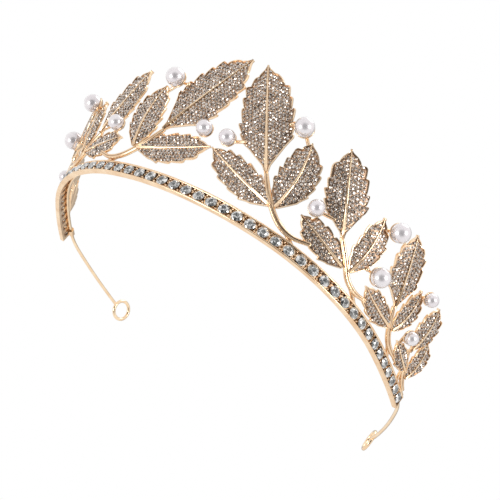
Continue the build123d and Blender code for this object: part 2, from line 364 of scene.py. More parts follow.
@dataclass
class Plan:
    """The tiara's plan: the band's arcs, its height, and the fan above it."""

    stone_pitch: float = 4.5
    stones_per_side: int = 23
    band_height: float = 4.6
    back_wall: float = 0.7
    groove_depth: float = 0.9
    end_margin: float = 0.8
    front_radius: float = 88.0
    front_turn: float = 19.0
    side_radius: float = 56.0
    side_turn: float = 51.0
    end_radius: float = 158.0
    arm_bend_radius: float = 25.0
    arm_bend_turn: float = 22.0
    arm_radius: float = 150.0
    arm_turn: float = 12.0
    wire_diameter: float = 1.2
    fan_lean: float = 18.0

    @property
    def depth(self) -> float:
        """Thickness of the band from its outer face to its inner one."""
        return self.back_wall + self.groove_depth

    @property
    def half_length(self) -> float:
        """Length of the band from the middle of the front to one end."""
        return self.stone_pitch * (self.stones_per_side + 0.5) + self.end_margin

    @property
    def wire_inset(self) -> float:
        """Distance from the band's outer face in to the wire's middle."""
        return self.depth + self.wire_diameter / 2

    @property
    def wire_height(self) -> float:
        """Height of the wire's middle."""
        return self.band_height - self.wire_diameter / 2

    @property
    def arcs(self) -> list[tuple[float, float]]:
        """Radius and length of each arc, from the middle of the front to the end of an arm.

        Returns:
            One pair an arc.
        """
        front = self.front_radius * math.radians(self.front_turn)
        side = self.side_radius * math.radians(self.side_turn)
        bend, arm = (r + self.wire_inset for r in (self.arm_bend_radius, self.arm_radius))
        return [(self.front_radius, front), (self.side_radius, side),
                (self.end_radius, self.half_length - front - side),
                (bend, bend * math.radians(self.arm_bend_turn)),
                (arm, arm * math.radians(self.arm_turn))]

    @property
    def reach(self) -> float:
        """Distance from the middle of the front to the end of an arm."""
        return sum(length for _, length in self.arcs)

    @property
    def stones(self) -> Array:
        """Where every stone is along the band."""
        return self.stone_pitch * np.arange(-self.stones_per_side, self.stones_per_side + 1)

    def place(self, along: Array | float) -> tuple[Array, Array]:
        """Points on the band's outer face line and the headings there: each arc in turn adds
        its radius times the change in the sine and cosine of the heading.

        Args:
            along: Distances from the middle of the front, below zero on the left.

        Returns:
            Points at height zero, and headings in radians.
        """
        distance = np.abs(np.asarray(along, float))
        heading, x, y = (np.zeros_like(distance) for _ in range(3))
        start = 0.0
        for radius, length in self.arcs:
            after = heading + np.clip(distance - start, 0, length) / radius
            x += radius * (np.sin(after) - np.sin(heading))
            y += radius * (np.cos(heading) - np.cos(after))
            heading, start = after, start + length
        side = np.where(np.asarray(along) < 0, -1.0, 1.0)
        return np.stack([x * side, y, np.zeros_like(x)], -1), heading * side

    def outward(self, along: Array | float, tilt: float = 0.0) -> Array:
        """Directions away from the head, tipped down.

        Args:
            along: Distances from the middle of the front.
            tilt: Degrees that they are tipped by.

        Returns:
            The directions.
        """
        heading = self.place(along)[1]
        level, drop = math.cos(math.radians(tilt)), math.sin(math.radians(tilt))
        return np.stack([np.sin(heading) * level, -np.cos(heading) * level,
                         np.full_like(heading, -drop)], -1)

    def section(self, along: Array | float, inset: float, height: float) -> Array:
        """Points at an inset from the band's outer face and at a height."""
        return self.place(along)[0] - self.outward(along) * inset + UP * height

    def frames(self, along: Array, inset: float, height: float, facing: float = 1.0) -> tuple[Array, Array]:
        """Places on the band and the axes there: X up, and Z out from the band.

        Args:
            along: Distances from the middle of the front.
            inset: Distance in from the band's outer face.
            height: Height above the foot.
            facing: 1 for Z away from the head, or -1 for Z towards it.

        Returns:
            The places, and the axes as (place, axis, xyz).
        """
        z = self.outward(along) * facing
        x = np.broadcast_to(UP, z.shape)
        return self.section(along, inset, height), np.stack([x, np.cross(z, x), z], 1)

    def fan(self, along: float, up: float, proud: float = 0.0) -> Array:
        """Point on the fan, or proud of it.

        Args:
            along: Distance from the middle of the front.
            up: Distance up the fan from the band's top edge.
            proud: Distance out from the fan.

        Returns:
            The point.
        """
        lean = math.radians(self.fan_lean)
        reach = self.band_height / 2 * math.tan(lean) + up * math.sin(lean)
        base = self.section(along, -reach, self.band_height + up * math.cos(lean))
        return base + self.outward(along, self.fan_lean) * proud


PLAN = Plan()


# ---------------------------------------------------------------- finishes


class Net:
    """Small helper that adds nodes to a tree and links them."""

    def __init__(self, tree: bpy.types.NodeTree) -> None:
        """Take the tree to add to."""
        self.tree = tree

    def feed(self, node: bpy.types.Node, values: dict) -> None:
        """Link or set a node's inputs.

        Args:
            node: The node.
            values: For each input, an output to link or a value to set.
        """
        for key, value in values.items():
            if isinstance(value, Socket):
                self.tree.links.new(value, node.inputs[key])
            else:
                node.inputs[key].default_value = value

    def add(self, kind: str, values: dict | None = None, **settings: object) -> bpy.types.Node:
        """Add a node.

        Args:
            kind: The node's type.
            values: What its inputs get.
            settings: Properties of the node.

        Returns:
            The new node.
        """
        node = self.tree.nodes.new(kind)
        for name, value in settings.items():
            setattr(node, name, value)
        self.feed(node, values or {})
        return node

    def maths(self, operation: str, *values: Socket | float) -> Socket:
        """One sum on one to three values."""
        return self.add("ShaderNodeMath", dict(enumerate(values)), operation=operation).outputs[0]

    def place(self) -> Socket:
        """Position on the tiara, in metres."""
        return self.add("ShaderNodeTexCoord").outputs["Object"]

    def noise(self, scale: Socket | float, detail: float) -> Socket:
        """Even noise over the position on the tiara."""
        values = {"Vector": self.place(), "Scale": scale, "Detail": detail}
        return self.add("ShaderNodeTexNoise", values).outputs["Fac"]

    def span(self, value: Socket, low: float, high: float, to_low: Socket | float = 0.0,
             to_high: Socket | float = 1.0, **settings: object) -> Socket:
        """Stretch a range of values to another, held at its ends.

        Args:
            value: The value to stretch.
            low: Value that becomes to_low.
            high: Value that becomes to_high.
            to_low: Start of the new range.
            to_high: End of the new range.
            settings: Properties of the node.

        Returns:
            The stretched value.
        """
        return self.add("ShaderNodeMapRange", {"Value": value, "From Min": low, "From Max": high,
                                               "To Min": to_low, "To Max": to_high}, **settings).outputs[0]

    def blend(self, share: Socket, first: Socket | tuple, second: Socket | tuple) -> Socket:
        """Colour that runs from the first to the second."""
        return self.add("ShaderNodeMix", {0: share, 6: first, 7: second}, data_type="RGBA").outputs[2]


def group(name: str, inputs: dict[str, float | tuple],
          outputs: dict[str, str]) -> tuple[Net, dict[str, Socket], bpy.types.Node]:
    """Start a shared node group.

    Args:
        name: The group's name.
        inputs: Each input and its first value.
        outputs: Each output and its kind of socket.

    Returns:
        The helper for its tree, its inputs' sockets by name, and its output node.
    """
    tree = bpy.data.node_groups.new(name, "ShaderNodeTree")
    for key, value in inputs.items():
        kind = "NodeSocketColor" if isinstance(value, tuple) else "NodeSocketFloat"
        tree.interface.new_socket(key, in_out="INPUT", socket_type=kind).default_value = value
    for key, kind in outputs.items():
        tree.interface.new_socket(key, in_out="OUTPUT", socket_type=kind)
    start, end = tree.nodes.new("NodeGroupInput"), tree.nodes.new("NodeGroupOutput")
    return Net(tree), {key: start.outputs[key] for key in inputs}, end


def casting_group() -> bpy.types.NodeTree:
    """Plated casting: slow changes of tone, faint ripples and fine rubbing marks.

    Returns:
        The group.
    """
    net, given, end = group("plated_casting", {
        "Light": (1.0, 0.8, 0.6, 1.0), "Dark": (0.5, 0.3, 0.2, 1.0), "Patch": 220.0,
        "Smooth": 0.15, "Rough": 0.3}, {
        "Colour": "NodeSocketColor", "Roughness": "NodeSocketFloat", "Height": "NodeSocketFloat"})
    slow, fine, ripple = net.noise(given["Patch"], 3.0), net.noise(2600.0, 2.0), net.noise(750.0, 1.0)
    net.feed(end, {"Colour": net.blend(net.span(slow, 0.35, 0.68), given["Dark"], given["Light"]),
                   "Roughness": net.span(fine, 0.3, 0.7, given["Smooth"], given["Rough"]),
                   "Height": net.maths("ADD", ripple, fine)})
    return net.tree


def painted_sparkle_group() -> bpy.types.NodeTree:
    """Foil-backed stone with painted sparkle: the colour of each facet runs from dark through a middle tone
    to white, a painted dark reflection or a painted glint set by each facet's lightness and a noise.

    Returns:
        The group.
    """
    net, given, end = group("facet_painted_sparkle", {
        "Dark": (0.1, 0.09, 0.08, 1.0), "Middle": (0.5, 0.45, 0.4, 1.0), "Bright": (1.0, 1.0, 1.0, 1.0)},
        {"Colour": "NodeSocketColor"})
    # Painted sparkle: each facet's own lightness, nudged by a noise, picks a painted dark reflection, the
    # middle tone or a painted glint.
    facet = net.add("ShaderNodeAttribute", attribute_name="facet").outputs["Fac"]
    drift = net.maths("SUBTRACT", net.noise(420.0, 2.0), 0.5)
    light = net.maths("MULTIPLY_ADD", drift, 0.5, facet)
    low = net.blend(net.span(light, 0.05, 0.5), given["Dark"], given["Middle"])
    net.feed(end, {"Colour": net.blend(net.span(light, 0.5, 0.95), low, given["Bright"])})
    return net.tree


def blank(name: str) -> tuple[bpy.types.Material, Net, bpy.types.Node]:
    """Start a material.

    Args:
        name: Its name.

    Returns:
        The material, the helper for its nodes, and its shader.
    """
    made = bpy.data.materials.new(name)
    made.use_nodes = True
    return made, Net(made.node_tree), made.node_tree.nodes["Principled BSDF"]


@dataclass(frozen=True)
class Gold:
    """Rose-gold plating on one kind of piece."""

    name: str
    light: Colour
    dark: Colour
    smooth: float = 0.14
    rough: float = 0.26
    patch: float = 220.0
    relief: float = 0.00002

    def make(self, casting: bpy.types.NodeTree) -> bpy.types.Material:
        """The plating as a material.

        Args:
            casting: The shared casting group.

        Returns:
            The material.
        """
        made, net, shader = blank(self.name)
        cast = net.add("ShaderNodeGroup", node_tree=casting)
        net.feed(cast, {"Light": (*self.light, 1.0), "Dark": (*self.dark, 1.0), "Patch": self.patch,
                        "Smooth": self.smooth, "Rough": self.rough})
        bump = net.add("ShaderNodeBump", {"Height": cast.outputs["Height"], "Strength": 0.5,
                                          "Distance": self.relief})
        net.feed(shader, {"Base Color": cast.outputs["Colour"], "Roughness": cast.outputs["Roughness"],
                          "Normal": bump.outputs["Normal"], "Metallic": 1.0})
        return made


@dataclass(frozen=True)
class Stone:
    """Foil-backed cut stone, its glints and dark reflections painted into its facets' colour."""

    name: str
    dark: Colour
    middle: Colour
    bright: Colour

    def make(self, painted_sparkle: bpy.types.NodeTree) -> bpy.types.Material:
        """The stone as a material.

        Args:
            painted_sparkle: The shared group that paints each facet's glint or dark reflection.

        Returns:
            The material.
        """
        made, net, shader = blank(self.name)
        look = net.add("ShaderNodeGroup", node_tree=painted_sparkle)
        net.feed(look, {"Dark": (*self.dark, 1.0), "Middle": (*self.middle, 1.0),
                        "Bright": (*self.bright, 1.0)})
        net.feed(shader, {"Base Color": look.outputs["Colour"], "Metallic": 0.7, "Roughness": 0.06,
                          "IOR": 1.6, "Coat Weight": 1.0, "Coat Roughness": 0.02})
        return made


@dataclass(frozen=True)
class Nacre:
    """White imitation pearl: soft lustre under a clear coat, faintly clouded pink."""

    name: str = "pearl_nacre"
    body: Colour = (0.83, 0.80, 0.815)
    shade: Colour = (0.75, 0.70, 0.73)

    def make(self) -> bpy.types.Material:
        """The pearl's material.

        Returns:
            The material.
        """
        made, net, shader = blank(self.name)
        cloud = net.noise(260.0, 4.0)
        colour = net.blend(net.span(cloud, 0.2, 0.7), (*self.shade, 1.0), (*self.body, 1.0))
        bump = net.add("ShaderNodeBump", {"Height": cloud, "Strength": 0.3, "Distance": 0.00001})
        net.feed(shader, {"Base Color": colour, "Normal": bump.outputs["Normal"], "Metallic": 0.58,
                          "Roughness": 0.25, "Coat Weight": 1.0, "Coat Roughness": 0.08,
                          "Sheen Weight": 0.15})
        return made


class Finishes:
    """Every material of the tiara, made once."""

    def __init__(self) -> None:
        """Make the shared groups and the materials."""
        casting, painted_sparkle = casting_group(), painted_sparkle_group()
        self.band = Gold("band_plating", (0.98, 0.77, 0.54), (0.84, 0.58, 0.36)).make(casting)
        self.wire = Gold("wire_plating", (0.99, 0.79, 0.55), (0.90, 0.66, 0.43), 0.1, 0.2).make(casting)
        self.stem = Gold("stem_plating", (0.98, 0.77, 0.53), (0.82, 0.56, 0.35)).make(casting)
        self.rim = Gold("leaf_rim_plating", (0.97, 0.76, 0.53), (0.91, 0.68, 0.46),
                        0.16, 0.3, 300.0).make(casting)
        # Painted shade: the sunk bed between the paved stones is plated a darker brown gold, which stands
        # for the shade in that recess.
        self.bed = Gold("pave_bed_painted_shade_plating", (0.62, 0.42, 0.28), (0.26, 0.17, 0.12),
                        0.25, 0.45, 900.0).make(casting)
        # Painted shade: darker gold for the stem's groove and the rings round the band's seat holes, which
        # stands for the shade there.
        self.groove = Gold("groove_painted_shade_plating", (0.55, 0.35, 0.21), (0.34, 0.20, 0.12)).make(casting)
        self.bead = Gold("bead_plating", (0.96, 0.74, 0.51), (0.66, 0.45, 0.29),
                         0.15, 0.3, 700.0).make(casting)
        # Painted sparkle: the crystal and pave colours run from a painted dark reflection through a middle
        # tone to a white painted glint.
        self.crystal = Stone("band_crystal_foil", (0.012, 0.014, 0.016), (0.40, 0.405, 0.395),
                             (0.95, 0.95, 0.94)).make(painted_sparkle)
        self.pave = Stone("pave_crystal_foil", (0.07, 0.055, 0.042), (0.475, 0.392, 0.332),
                          (0.95, 0.89, 0.83)).make(painted_sparkle)
        self.pearl = Nacre().make()


# ---------------------------------------------------------------- band


@dataclass
class Band:
    """Crystal-set band: rounded rims, cut crystals in their seats, and bead prongs between."""

    rim_radius: float = 0.32
    rim_inset: float = 0.22
    crystal_radius: float = 1.75
    culet_radius: float = 0.25
    hole_radius: float = 0.9
    pavilion_angle: float = 41.0
    crown_height: float = 0.5
    girdle_height: float = 0.15
    crown_share: float = 0.8
    table_share: float = 0.55
    star_share: float = 0.3
    prong_radius: float = 0.45
    prong_offset: float = 1.25
    prong_reach: float = 2.2
    shade_ring_radius: float = 1.4
    shade_ring_lift: float = 0.02
    shade_ring_sink: float = 0.05
    seed: int = 41

    def rims(self) -> Shell:
        """Two round bars along the band's front edges: a circle carried along the plan.

        Returns:
            Both bars.
        """
        ends = PLAN.half_length - self.rim_radius
        along = np.linspace(-ends, ends, 400)
        radius = np.full(len(along), self.rim_radius)
        return Shell.joined([rod(PLAN.section(along, self.rim_inset, height), radius,
                                 PLAN.outward(along), 10)
                             for height in (self.rim_radius, PLAN.band_height - self.rim_radius)])

    def crystals(self) -> Shell:
        """Round stones: rings of eight or sixteen corners, each ring turned half a facet from the
        last, from the culet through girdle and crown to a table with a star inside it.

        Returns:
            Every stone in its seat, its sides, table and star with their own finish numbers, which set
            their range of painted lightness.
        """
        slope = math.tan(math.radians(self.pavilion_angle))
        girdle = (self.crystal_radius - self.hole_radius) * slope
        shoulder = girdle + self.girdle_height
        top = shoulder + self.crown_height
        culet = girdle - (self.crystal_radius - self.culet_radius) * slope
        rings = [(self.culet_radius, culet, 8, 0.0),
                 (self.crystal_radius, girdle, 16, 0.0),
                 (self.crystal_radius, shoulder, 16, 0.0),
                 (self.crystal_radius * self.crown_share, shoulder + self.crown_height * 0.52, 8, 0.5),
                 (self.crystal_radius * self.table_share, top, 8, 0.0),
                 (self.crystal_radius * self.star_share, top, 8, 0.5)]
        points = [turned([(radius, height)], count, spin) for radius, height, count, spin in rings]
        points.append(np.array([[0, 0, culet], [0, 0, top]]))
        low, below, above, mid, table, star, heart = np.cumsum([0] + [len(p) for p in points])[:7]
        i = np.arange(8)
        j = (i + 1) % 8
        two, one, next_two = 2 * i, 2 * i + 1, (2 * i + 2) % 16
        sloped = [(low + j, low + i, np.full(8, heart)), (below + one, below + two, low + i),
                  (below + one, low + i, low + j), (below + next_two, below + one, low + j),
                  (above + two, above + one, mid + i), (above + one, above + next_two, mid + i),
                  (above + two, mid + i, table + i), (above + two, table + i, mid + (i - 1) % 8),
                  (mid + i, table + j, table + i)]
        flat = [(table + i, table + j, star + i)]
        centre = [(star + i, table + j, star + j), (star + i, star + j, np.full(8, heart + 1))]
        faces = [np.concatenate([np.stack(t, -1) for t in part]) for part in (sloped, flat, centre)]
        wall = grid_faces(2, 16) + below
        spots, axes = PLAN.frames(PLAN.stones, PLAN.groove_depth, PLAN.band_height / 2)
        return scattered(np.concatenate(points), faces + [wall], spots, axes, 1.0, (0, 1, 2, 0))

    def prongs(self) -> Shell:
        """Beads in the gaps between crystals: small domes on the groove floor, two near the rims
        and a smaller one between them.

        Returns:
            Every bead.
        """
        dome = np.concatenate([turned([(0.9, 0.0), (1.0, 0.45), (0.75, 0.8), (0.35, 1.05)], 8),
                               [[0, 0, 1.18]]])
        cap = np.stack([np.arange(8) + 24, (np.arange(8) + 1) % 8 + 24, np.full(8, 32)], -1)
        faces = [grid_faces(4, 8), cap, np.arange(8)[None, ::-1]]
        shells = []
        for offset, size in ((-self.prong_offset, 1.0), (self.prong_offset, 1.0), (0.0, 0.85)):
            spots, axes = PLAN.frames(PLAN.stones[:-1] + PLAN.stone_pitch / 2, PLAN.groove_depth + 0.02,
                                      PLAN.band_height / 2 + offset)
            stretch = axes * np.array([1.0, 1.0, self.prong_reach])[:, None]
            shells.append(scattered(dome, faces, spots, stretch, self.prong_radius * size))
        return Shell.joined(shells)

    def painted_shade_rings(self) -> Shell:
        """Painted shade round the seat holes on the inner face: thin rings in the darker groove gold that
        make the holes look larger, round inside and a rounded square outside, whose radius grows as the
        fourth root of one over the sum of the fourth powers of the cosine and the sine.

        Returns:
            Every painted shade ring.
        """
        sides = 20
        angle = turns(sides)
        square = self.shade_ring_radius * (np.cos(angle) ** 4 + np.sin(angle) ** 4) ** -0.25
        ring = turned([(self.hole_radius, -self.shade_ring_sink), (self.hole_radius, self.shade_ring_lift),
                       (square, self.shade_ring_lift), (square, -self.shade_ring_sink)], sides)
        spots, axes = PLAN.frames(PLAN.stones, PLAN.depth, PLAN.band_height / 2, -1.0)
        return scattered(ring, [grid_faces(4, sides, True)], spots, axes).outward()

    def build(self, looks: Finishes) -> None:
        """Make the band's pieces and dress the CAD band.

        Args:
            looks: The materials.
        """
        dress("band", looks.band)
        piece("band_rim_bars", self.rims(), [looks.band], Shading.SMOOTH)
        # Painted sparkle: crystal sides and table get painted lightness from dark to white, the star only
        # from dark to a middle tone.
        piece("band_cut_crystals", self.crystals(), [looks.crystal] * 3, Shading.FLAT,
              ("band_crystals",), self.seed, ((0.1, 1.0), (0.22, 1.0), (0.0, 0.35)))
        piece("band_bead_prongs", self.prongs(), [looks.bead], Shading.SMOOTH)
        # Painted shade: dark rings round the seat holes on the inner face.
        piece("band_seat_painted_shade_rings", self.painted_shade_rings(), [looks.groove], Shading.FLAT)


@dataclass
class HeadbandWire:
    """Wire behind the band, with its arms and the eye loop at each end."""

    loop_mean_radius: float = 3.65
    loop_wire_radius: float = 0.65
    loop_height: float = 4.3

    def arch(self) -> Shell:
        """One round wire from loop to loop: a circle carried along the plan.

        Returns:
            The wire.
        """
        along = np.linspace(-PLAN.reach, PLAN.reach, 600)
        path = PLAN.section(along, PLAN.wire_inset, PLAN.wire_height)
        return rod(path, np.full(len(along), PLAN.wire_diameter / 2), UP, 16)

    def loop(self) -> Shell:
        """Right-hand eye: a circle carried round a ring that stands in line with the arm.

        Returns:
            The ring.
        """
        heading = PLAN.place(PLAN.reach)[1]
        run = np.array([math.cos(heading), math.sin(heading), 0.0])
        rise = self.loop_height - PLAN.wire_height
        end = PLAN.section(PLAN.reach, PLAN.wire_inset, self.loop_height)
        centre = end + run * math.sqrt(self.loop_mean_radius**2 - rise**2)
        angle = turns(72)[:, None]
        spoke = (np.cos(angle) * run + np.sin(angle) * UP)[:, None]
        circle = turns(16)[:, None]
        rings = (centre + spoke * (self.loop_mean_radius + self.loop_wire_radius * np.cos(circle))
                 + np.cross(run, UP) * self.loop_wire_radius * np.sin(circle))
        return tube_shell(rings, closed=True)

    def build(self, looks: Finishes) -> None:
        """Make the wire and its loops, and dress the tabs that hold it.

        Args:
            looks: The materials.
        """
        piece("round_wire", self.arch(), [looks.wire], Shading.SMOOTH, ("headband_wire",))
        both_sides("round_eye_loop", self.loop(), [looks.wire], Shading.SMOOTH, "eye_loop")
        for side in Side:
            dress(f"{side.value}_wire_tab", looks.band)


# ---------------------------------------------------------------- leaves


def ramp(value: Array, start: float, width: float) -> Array:
    """From 0 at the start to 1 a width further on, or further back where it is below zero."""
    return np.clip((value - start) / width, 0, 1)


@dataclass
class Leaf:
    """One serrated leaf: a cupped plate with a thin rim, a sunk bed of stones and a midrib."""

    name: str
    stalk: tuple[float, float]
    tip: tuple[float, float]
    width: float
    bow: float
    seed: int
    beads_on_tip: bool = False
    rim: float = 0.38
    bed: float = 0.28
    bed_steps: int = 6
    rib: float = 0.62
    rib_height: float = 0.34
    rib_base: float = 0.05
    rib_groove: float = 0.16
    lobe_pitch: float = 4.0
    lobe_depth: float = 1.15
    full_lobe_width: float = 11.0
    first_lobe: float = 0.20
    nick_depth: float = 0.34
    nick_width: float = 0.09
    arch: float = 0.0175
    edge_fall: float = 0.055
    lobe_sweep: float = 0.55
    edge_sweep: float = 0.04
    stone_radius: float = 0.56
    smallest_stone: float = 0.34
    stone_pitch: float = 1.22
    row_share: float = 0.86
    stone_tilt: float = 0.13
    grain_radius: float = 0.19
    tip_bead_radius: float = 0.62
    edge_section: tuple[tuple[float, float], ...] = (
        (0.92, 0.10), (0.35, 0.16), (0.0, -0.10), (0.0, -0.5225), (0.5, -0.76))
    back_section: tuple[tuple[float, float], ...] = (
        (0.7, -0.82), (0.35, -0.88), (0.14, -0.91), (0.0, -1.18))
    long_outline: tuple[tuple[float, float], ...] = (
        (0.0, 0.08), (0.06, 0.18), (0.27, 0.96), (0.38, 1.03), (0.52, 1.0), (0.64, 0.94), (0.76, 0.78),
        (0.87, 0.40), (0.94, 0.17), (1.0, 0.0))
    short_outline: tuple[tuple[float, float], ...] = (
        (0.0, 0.15), (0.06, 0.38), (0.17, 0.80), (0.30, 0.98), (0.50, 1.02), (0.66, 0.92), (0.78, 0.70),
        (0.88, 0.38), (0.95, 0.16), (1.0, 0.0))

    @property
    def start(self) -> Array:
        """Where the leaf leaves its stem."""
        return PLAN.fan(*self.stalk)

    @property
    def length(self) -> float:
        """Distance from stalk to tip."""
        return float(np.linalg.norm(PLAN.fan(*self.tip) - self.start))

    @property
    def axes(self) -> Array:
        """The leaf's directions: along it, across it, and out of its face.

        Returns:
            One direction a line.
        """
        run = unit(PLAN.fan(*self.tip) - self.start)
        face = PLAN.outward((self.stalk[0] + self.tip[0]) / 2, PLAN.fan_lean)
        face = unit(face - run * (face @ run))
        return np.stack([run, np.cross(face, run), face])

    @property
    def lobes(self) -> int:
        """Lobes on each edge."""
        return max(5, round(self.length / self.lobe_pitch))

    def lobe_steps(self, share: Array, side: Array) -> tuple[Array, Array]:
        """Lobes of different lengths and heights on each edge, from the leaf's seed.

        Args:
            share: Share of the length.
            side: Below zero for one edge and above zero for the other.

        Returns:
            Where each point is within its lobe, from 0 to 1, and that lobe's height.
        """
        rng = np.random.default_rng(self.seed + 500)
        steps, heights = (np.zeros(np.broadcast(share, side).shape) for _ in range(2))
        for edge in (-1.0, 1.0):
            spans = rng.uniform(0.75, 1.3, self.lobes)
            notches = np.concatenate([[0.0], np.cumsum(spans) / spans.sum()])
            height = rng.uniform(0.6, 1.25, self.lobes + 1)
            count = np.interp(share, notches, np.arange(self.lobes + 1))
            steps = np.where(side * edge > 0, count % 1.0, steps)
            heights = np.where(side * edge > 0, height[count.astype(int)], heights)
        return steps, heights

    def lobe(self, share: Array, side: Array) -> Array:
        """How far a lobe stands out: within each lobe the step to the power 0.8, cut off near
        the end by one less its ninth power.

        Args:
            share: Share of the length.
            side: Which edge.

        Returns:
            From 0 at a notch to about 1.
        """
        step, height = self.lobe_steps(share, side)
        grown = ramp(share, self.first_lobe, 0.08) * ramp(share, 0.95, -0.12)
        return 1.12 * step**0.8 * (1 - step**9) * height * grown

    def nick(self, share: Array, side: Array, edge: Array) -> Array:
        """Depth of the crease that runs in from each notch: a bell curve about the notch, deeper
        towards the edge.

        Args:
            share: Share of the length.
            side: Which edge.
            edge: Share of the way from midrib to edge.

        Returns:
            The depth.
        """
        step, height = self.lobe_steps(share, side)
        near = np.exp(-((np.minimum(step, 1 - step) / self.nick_width) ** 2))
        held = ramp(share, self.first_lobe, 0.08) * ramp(share, 0.92, -0.08)
        return self.nick_depth * height * near * held * ramp(edge, 0.55, 0.35)

    def half_width(self, share: Array, side: Array) -> Array:
        """Half the width: the outline, straight between its stations, with lobes outside it.

        Args:
            share: Share of the length.
            side: Which edge.

        Returns:
            The distance from midrib to edge.
        """
        clear = np.clip(share, 0.0, 1.0)
        outline = np.array(self.long_outline if self.name == "main" else self.short_outline)
        reach = self.lobe_depth * min(1.0, self.width / self.full_lobe_width)
        body = (self.width / 2 - reach * 0.55) * np.interp(clear, *outline.T)
        return np.maximum(body + reach * self.lobe(clear, side), 0.28 + 0.35 * (1 - clear))

    def bed_edge(self, half: Array) -> Array:
        """Width of the rim beside the bed, at most about a third of the half width."""
        return np.minimum(self.rim, half * 0.35)

    def rib_width(self, share: Array) -> Array:
        """Half the midrib's width, narrowing towards the tip."""
        return self.rib * (1.0 - 0.78 * share**0.7) * min(1.0, 0.55 + self.width / 24)

    def surface(self, share: Array, across: Array, height: Array) -> Array:
        """Points on the leaf: it arches along its length, its edges fall away as the square of
        the distance across, and its lobes sweep forward.

        Args:
            share: Share of the length.
            across: Distance from the midrib.
            height: Height above the face.

        Returns:
            Points in the tiara's frame.
        """
        side = np.sign(across)
        edge = np.clip(np.abs(across) / np.maximum(self.half_width(share, side), 0.3), 0, 1)
        middle = 4 * share * (1 - share)
        fall = self.edge_fall * self.width * edge**2 * np.sin(math.pi * np.clip(share, 0, 1) ** 0.8)
        sweep = self.lobe_sweep * self.lobe(share, side) * edge**3 + self.edge_sweep * self.width * edge**2
        x = share * self.length + sweep * ramp(share, 0.0, 0.25) * ramp(share, 1.0, -1 / 9)
        crease = np.where(height > -self.bed - 0.1, self.nick(share, side, edge), 0.0)
        z = height + self.arch * self.length * middle - fall - crease
        return self.start + np.stack([x, self.bow * middle + across, z], -1) @ self.axes

    def plate(self) -> Shell:
        """The closed plate: a section of rim, bed, midrib and back carried along the leaf.

        Returns:
            The plate, with the bed's faces under finish number 1, the darker gold with painted shade.
        """
        count = self.lobes * 14 + 12
        share = np.linspace(0.0, 1.0, count)
        floor = -self.bed * ramp(share, 1.0, -0.08) * ramp(share, 0.0, 0.06)
        crest = self.rib_height * (1 - 0.75 * share) + self.rib_base
        groove = self.rib_groove * ramp(share, 1 / 2.2, -1 / 2.2)
        edges = []
        for side in (1.0, -1.0):
            half = self.half_width(share, np.full(count, side))
            rim = self.bed_edge(half)
            rib = np.minimum(self.rib_width(share), half * 0.45)
            span = np.maximum(half - rim - rib, 0.0) / self.bed_steps
            line = [(rib * 0.0, crest - groove), (rib * 0.42, crest), (rib * 0.85, crest * 0.7)]
            line += [(rib + span * k, floor) for k in range(self.bed_steps + 1)]
            line += [(half - rim * back, height) for back, height in self.edge_section]
            line += [(half * out, height) for out, height in self.back_section]
            across, height = (np.stack([np.broadcast_to(spot[k], count) for spot in line], -1)
                              for k in range(2))
            edges.append(self.surface(np.repeat(share[:, None], len(line), 1),
                                      across * side + side * 1e-6, height))
        rings = np.concatenate([edges[0], edges[1][:, -2:0:-1]], 1)
        skin = tube_shell(rings)
        around = rings.shape[1]
        column = np.arange((count - 1) * around) % around
        column = np.minimum(column, around - 1 - column)
        in_bed = (column >= 3) & (column < 3 + self.bed_steps)
        (quads, _), caps = skin.faces
        return Shell(skin.points, [(quads[~in_bed], 0), (quads[in_bed], 1), caps])

    def stones(self) -> tuple[Array, Array, Array]:
        """Where the paved stones sit: staggered rows either side of the midrib, kept where the
        bed has room and smaller beside the rim.

        Returns:
            Centres, axes and sizes.
        """
        rng = np.random.default_rng(self.seed)
        rows = np.arange(0, int(self.width / self.stone_pitch) + 2)
        steps = np.arange(0, int(self.length / self.stone_pitch) + 1)
        row, step, side = (g.ravel() for g in np.meshgrid(rows, steps, [-1.0, 1.0], indexing="ij"))
        pitch = self.stone_pitch / self.length
        share = (step + 0.5 * (row % 2) + 0.4) * pitch
        share = share + rng.normal(0, 0.05, share.shape) * pitch
        across = self.rib_width(np.clip(share, 0, 1)) + self.stone_radius * 0.85
        across = across + row * self.stone_pitch * self.row_share + rng.normal(0, 0.04, across.shape)
        kept = (share > 0.05) & (share < 0.965)
        share, across, side = share[kept], across[kept], side[kept]
        half = self.half_width(share, side)
        room = half - self.bed_edge(half) - across
        kept = room > 0.16
        share, across, side, room = share[kept], across[kept], side[kept], room[kept]
        height = np.full(len(share), -self.bed)
        centre = self.surface(share, across * side, height)
        ahead = self.surface(share + 0.01, across * side, height) - centre
        beside = self.surface(share, (across + 0.1) * side, height) - centre
        face = unit(np.cross(ahead, beside)) * side[:, None]
        face = unit(face + rng.normal(0, self.stone_tilt, face.shape))
        x = unit(np.cross(unit(rng.normal(0, 1, face.shape)), face))
        sizes = np.clip(room + 0.12, self.smallest_stone, self.stone_radius)
        return centre, np.stack([x, np.cross(face, x), face], 1), sizes

    def build(self, sprig: str, looks: Finishes) -> None:
        """Make the plate, its stones, and a gold grain just past the edge of each stone.

        Args:
            sprig: The sprig's name.
            looks: The materials.
        """
        node = f"{sprig}_{self.name}_leaf"
        shells = [self.plate()]
        if self.beads_on_tip:
            shells.append(ball(self.surface(np.array(0.99), np.array(0.0), np.array(-0.3)),
                               self.tip_bead_radius, self.axes[2], 8, 14))
        # The bed takes the darker gold with painted shade.
        both_sides(f"{node}_plate", Shell.joined(shells), [looks.rim, looks.bed],
                   Shading.CREASED, node)
        centres, axes, sizes = self.stones()
